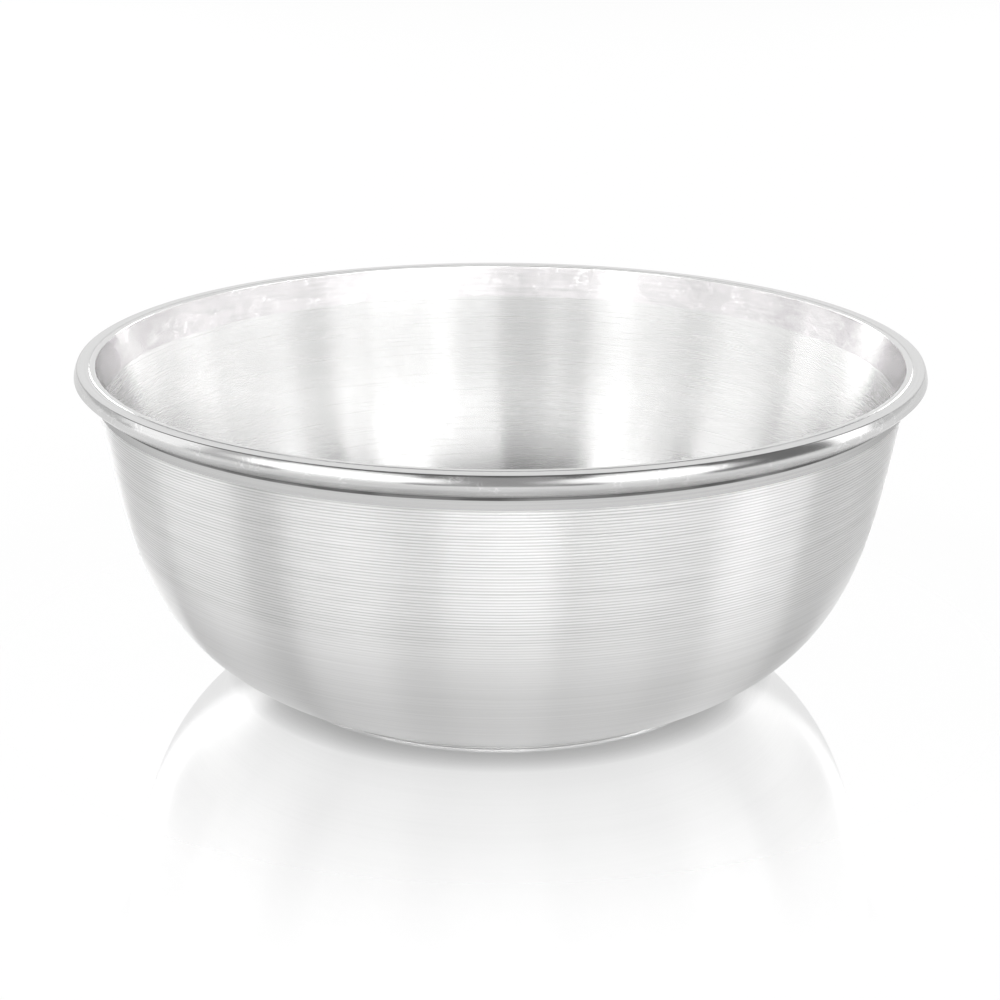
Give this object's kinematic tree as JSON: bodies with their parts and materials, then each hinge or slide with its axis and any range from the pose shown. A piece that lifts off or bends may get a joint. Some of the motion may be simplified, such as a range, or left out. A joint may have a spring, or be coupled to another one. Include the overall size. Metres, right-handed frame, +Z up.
{
  "type": "katori bowl",
  "caption": "Small round metal serving bowl with a flat foot, a curved finely turned wall and a polished flat-topped ring round the mouth.",
  "frame": {"origin": "middle of the flat foot, on the surface that the bowl stands on", "axes": "+Z up along the axis that the bowl is turned about; X and Y are level and every direction round the axis is alike"},
  "size_m": [0.102, 0.102, 0.04],
  "materials": {
    "turned_metal": "fine turned grooves outside, circular brushing inside",
    "polished_metal": "polished, with hairline scratches"
  },
  "bodies": {
    "root": {"bowl_body": "turned_metal", "rim_ring": "polished_metal"}
  },
  "joints": []
}
